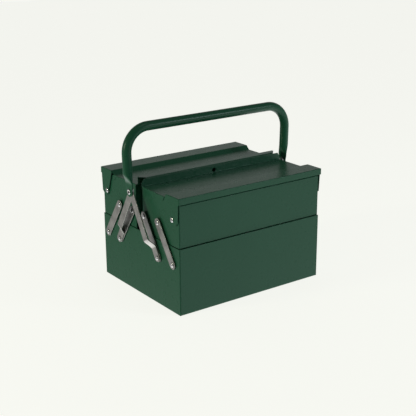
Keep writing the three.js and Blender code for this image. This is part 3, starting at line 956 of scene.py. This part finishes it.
# Spins a profile of (x, radius) points round the X axis at that height.
def spinProfile(profile, y, z, endSign, sideSign):
    bm = bmesh.new()
    chain(bm, [(x, radius, 0) for x, radius in profile])
    bmesh.ops.spin(bm, geom=bm.verts[:] + bm.edges[:], cent=(0, 0, 0), axis=(1, 0, 0),
                   angle=2 * math.pi, steps=rivetShape["steps"], use_merge=True,
                   use_duplicate=False, dvec=(0, 0, 0))
    bmesh.ops.translate(bm, vec=(0, y, z), verts=bm.verts)
    mirrored(bm, endSign, sideSign)
    turnOut(bm, (endSign, 0, 0))
    return bm


# Points of a low dome from its rim to the axis; a negative height domes it inwards.
def domePoints(base, height, radius):
    lip = math.copysign(rivetShape["rim"], height)
    count = rivetShape["domeSteps"]
    points = [(base, radius), (base + lip, radius)]
    for i in range(1, count + 1):
        angle = math.pi / 2 * i / count
        x = base + lip + (height - lip) * math.sin(angle)
        points.append((x, radius * math.cos(angle) if i < count else 0))
    return points


def makeRivet(node, y, z, endSign, sideSign, collar=None):
    low, high = placeOf(node, endSign, sideSign)
    shape = rivetShape
    base = high.x - shape["dome"]
    seat = low.x + shape["innerDome"]
    inner = domePoints(seat, -shape["innerDome"], shape["innerHead"])
    outer = domePoints(base, shape["dome"], shape["head"])
    profile = inner[::-1] + [(seat, shape["shank"])]
    if collar:
        start, stop = collar[0] + shape["collarInset"], collar[1] - shape["collarInset"]
        width = shape["head"] - shape["collarInset"]
        profile += [(start, shape["shank"]), (start, width), (stop, width), (stop, shape["shank"])]
    profile += [(base, shape["shank"])] + outer
    bm = spinProfile(profile, y, z, endSign, sideSign)
    finishPiece(node, "_head", bm, edge=shape["edge"])


# The handle's rivets are tubes with rolled rims.
def makeTubeRivet(node, y, z, endSign):
    low, high = placeOf(node, endSign)
    shape = rivetShape
    base, seat = high.x - shape["dome"], low.x + shape["innerDome"]
    head, bore = shape["tubeHead"], shape["bore"]
    roll = (head - bore) / 2
    outer = [(base, head)]
    for i in range(1, shape["rollSteps"]):
        angle = math.pi * i / shape["rollSteps"]
        outer.append((base + shape["dome"] * math.sin(angle), bore + roll + roll * math.cos(angle)))
    inner = [(seat - shape["innerDome"] / 2, bore), (seat - shape["innerDome"], shape["shank"]),
             (seat, head - shape["rim"]), (seat, shape["shank"]), (base, shape["shank"])]
    profile = inner + outer + [(base, bore), (seat - shape["innerDome"] / 2, bore)]
    bm = spinProfile(profile, y, z, endSign, 1)
    finishPiece(node, "_head", bm, edge=shape["edge"])


def makeWasher(node, y, z, endSign, sideSign):
    low, high = placeOf(node, endSign, sideSign)
    rim, bore = washerShape["rim"], washerShape["bore"]
    profile = [(low.x, bore), (low.x, rim), (high.x, rim), (high.x, bore), (low.x, bore)]
    bm = spinProfile(profile, y, z, endSign, sideSign)
    finishPiece(node, "_ring", bm, edge=washerShape["round"])


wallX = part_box("bottom_right_end")[1].x
for end, endSign in ends.items():
    makeTubeRivet(f"handle_{end}_rivet", 0, hinge[1], endSign)
    for side, sideSign in sides.items():
        corner = f"{side}_{end}"
        linkLow = placeOf(corner + "_outer_link", endSign)[0].x
        trayX = placeOf(f"{side}_tray_{end}_end", endSign)[1].x
        tabX = placeOf(side + "_lid", endSign)[1].x - sheet["thickness"]
        outerFoot, innerFoot, outerHead, innerHead = pivotsOf(side)
        lidHinge = jointPlace(side + "_lid_hinge")
        makeRivet(corner + "_outer_box_rivet", *outerFoot, endSign, sideSign, (wallX, linkLow))
        makeRivet(corner + "_inner_box_rivet", *innerFoot, endSign, sideSign, (wallX, linkLow))
        makeRivet(corner + "_outer_tray_rivet", *outerHead, endSign, sideSign)
        makeRivet(corner + "_inner_tray_rivet", *innerHead, endSign, sideSign)
        makeRivet(corner + "_lid_rivet", *lidHinge, endSign, sideSign, (trayX, tabX))
        makeWasher(corner + "_outer_washer", *outerHead, endSign, sideSign)
        makeWasher(corner + "_inner_washer", *innerHead, endSign, sideSign)
print("rivets made")

# The floor, the studio round it and three soft lights.
stageSet = {
    "floorHalf": 6.0,
    "pale": (0.922, 0.930, 0.880, 1),
    "ground": (0.21, 0.21, 0.20, 1),
    "glow": 0.93,
    "floorRoughness": 0.9,
    "darkSide": (-0.585, -0.811, 0),  # where the dark room is, between the lit sides
    "darkWidth": (0.35, 0.75),
    "darkLight": 0.06,
    "brightSide": (0.585, -0.811, 0),
    "overhead": 0.08,
    "horizon": (0.05, 0.46),  # before the box and behind it
    "farTable": (0.28, 1.02),  # away from the bright side and towards it
    "nearTable": 1.7,
    # where each change starts and ends: by height, or towards the dark or the bright side
    "horizonTurn": (-0.75, 0.1),
    "ceilingRise": (0.25, 0.75),
    "tableTurn": (-0.9, 0.9),
    "tableFall": (-0.75, -0.35),
    "tableEdge": (-0.12, 0.02),
    "aim": (0, 0, 0.15),
    "softboxes": {
        "top": {"place": (0.3, -0.9, 2.2), "size": 0.7, "power": 2.5, "tint": (1, 1, 1)},
        "right": {
            "place": (1.25, -1.75, 0.95), "size": 0.5, "power": 8, "tint": (0.82, 0.96, 1),
        },
        "left": {
            "place": (-2.3, 0.35, 0.75), "size": 0.45, "power": 15, "tint": (1, 1, 0.78),
        },
    },
}


# The floor is only for the eye: the light it throws back comes from the studio round it.
def makeFloor(settings):
    bm = bmesh.new()
    bmesh.ops.create_grid(bm, x_segments=1, y_segments=1, size=settings["floorHalf"])
    floor = objectFrom("floor", bm)
    material, _, shader = newMaterial("paleFloor")
    shader.inputs["Base Color"].default_value = settings["ground"]
    shader.inputs["Roughness"].default_value = settings["floorRoughness"]
    shader.inputs["Emission Color"].default_value = settings["pale"]
    shader.inputs["Emission Strength"].default_value = settings["glow"]
    floor.data.materials.append(material)
    floor.visible_diffuse = False
    floor.visible_glossy = False
    floor.visible_shadow = False


def makeSoftbox(name, place, size, power, tint):
    light = bpy.data.objects.new(name, bpy.data.lights.new(name, "AREA"))
    light.data.size = size
    light.data.energy = power
    light.data.color = tint
    light.location = place
    aim = Vector(stageSet["aim"]) - Vector(place)
    light.rotation_euler = aim.to_track_quat("-Z", "Y").to_euler()
    scene.collection.objects.link(light)


# A pale table below, a bright band round the horizon, a dimmer ceiling and one dark side.
def makeStudio(settings):
    world = bpy.data.worlds.new("studio")
    world.use_nodes = True
    tree = world.node_tree
    seen = tree.nodes["Background"]
    seen.inputs["Color"].default_value = settings["pale"]
    way = addNode(tree, "ShaderNodeTexCoord").outputs["Generated"]
    height = addNode(tree, "ShaderNodeSeparateXYZ", {"Vector": way}).outputs["Z"]
    toDark = towards(tree, way, settings["darkSide"])
    toBright = towards(tree, way, settings["brightSide"])
    before, behind = settings["horizon"]
    band = spread(tree, toDark, behind, before, *settings["horizonTurn"])
    upper = spread(tree, height, band, settings["overhead"], *settings["ceilingRise"])
    away, facing = settings["farTable"]
    far = spread(tree, toBright, away, facing, *settings["tableTurn"])
    lower = spread(tree, height, settings["nearTable"], far, *settings["tableFall"])
    level = spread(tree, height, lower, upper, *settings["tableEdge"])
    dark = spread(tree, toDark, level, settings["darkLight"], *settings["darkWidth"])
    light = addNode(tree, "ShaderNodeBackground", {"Strength": dark})
    path = addNode(tree, "ShaderNodeLightPath")
    both = addNode(tree, "ShaderNodeMixShader", {0: path.outputs["Is Camera Ray"]})
    tree.links.new(light.outputs[0], both.inputs[1])
    tree.links.new(seen.outputs[0], both.inputs[2])
    tree.links.new(both.outputs[0], tree.nodes["World Output"].inputs["Surface"])
    light.inputs["Color"].default_value = (1, 1, 1, 1)
    scene.world = world


makeFloor(stageSet)
makeStudio(stageSet)
for boxName, box in stageSet["softboxes"].items():
    makeSoftbox(boxName, **box)
scene.view_settings.view_transform = "Standard"
print("stage made")
